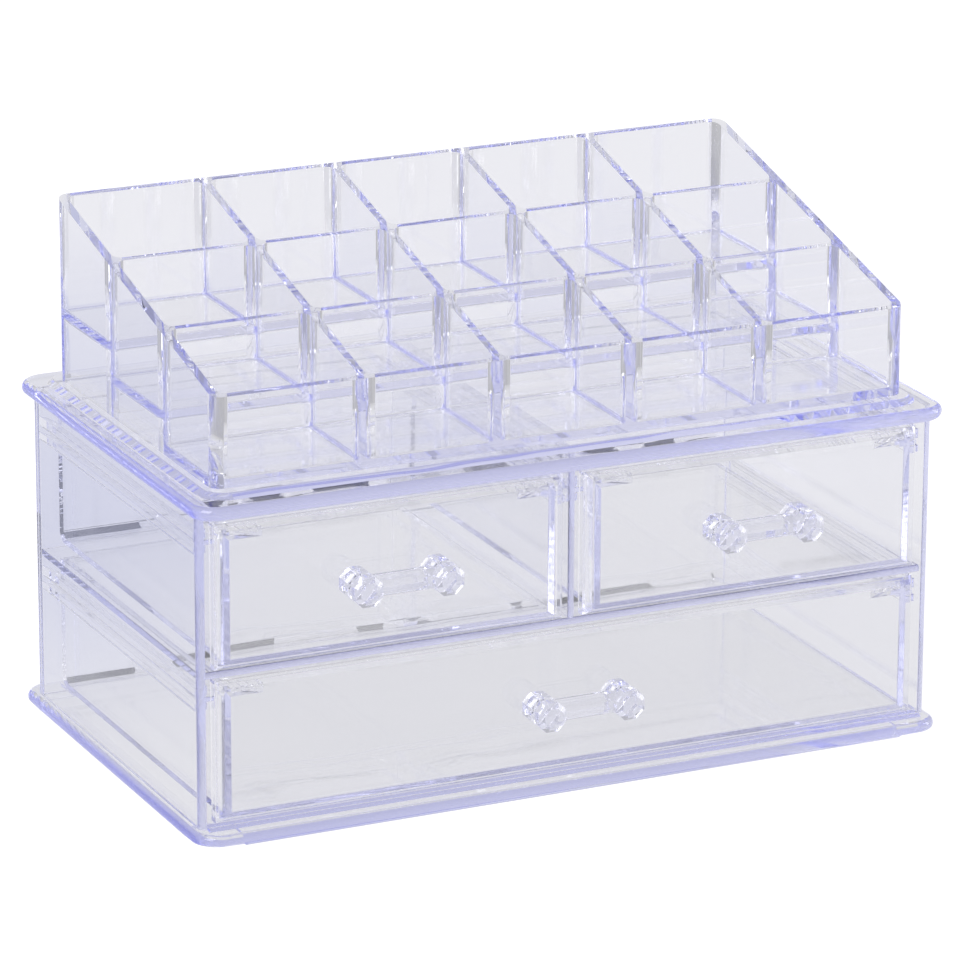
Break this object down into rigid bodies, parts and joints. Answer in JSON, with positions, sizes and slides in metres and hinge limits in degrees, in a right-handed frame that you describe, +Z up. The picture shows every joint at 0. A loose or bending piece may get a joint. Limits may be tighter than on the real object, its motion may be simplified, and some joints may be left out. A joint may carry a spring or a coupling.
{
  "type": "desk organizer",
  "caption": "Clear plastic desktop organizer: a cabinet with small sliding drawers, faceted bar handles and a loose stepped compartment tray on top.",
  "frame": {"origin": "middle of the cabinet's plates, on the surface that the base plate rests on", "axes": "+X to the right along the drawer fronts, +Y to the back, +Z up"},
  "size_m": [0.238, 0.149, 0.1586],
  "materials": {
    "clear_cabinet": "clear, polished",
    "clear_tub": "clear, polished",
    "clear_front": "clear, polished",
    "clear_handle": "clear, polished",
    "clear_tray": "clear, polished"
  },
  "bodies": {
    "cabinet": {"top_plate": "clear_cabinet", "base_plate": "clear_cabinet", "left_wall": "clear_cabinet", "right_wall": "clear_cabinet", "back_wall": "clear_cabinet", "middle_shelf": "clear_cabinet", "centre_divider": "clear_cabinet"},
    "drawer_left": {"drawer_left_tub": "clear_tub", "drawer_left_front": "clear_front", "drawer_left_handle": "clear_handle"},
    "drawer_right": {"drawer_right_tub": "clear_tub", "drawer_right_front": "clear_front", "drawer_right_handle": "clear_handle"},
    "drawer_wide": {"drawer_wide_tub": "clear_tub", "drawer_wide_front": "clear_front", "drawer_wide_handle": "clear_handle"},
    "tray": {"organizer_tray": "clear_tray"}
  },
  "joints": [
    {"name": "drawer_left_slide", "type": "slide", "parent": "cabinet", "child": "drawer_left", "axis": [0, -1, 0], "range_m": [0, 0.1]},
    {"name": "drawer_right_slide", "type": "slide", "parent": "cabinet", "child": "drawer_right", "axis": [0, -1, 0], "range_m": [0, 0.1]},
    {"name": "drawer_wide_slide", "type": "slide", "parent": "cabinet", "child": "drawer_wide", "axis": [0, -1, 0], "range_m": [0, 0.1]},
    {"name": "tray_lift", "type": "slide", "parent": "cabinet", "child": "tray", "axis": [0, 0, 1], "range_m": [0, 0.06]}
  ]
}
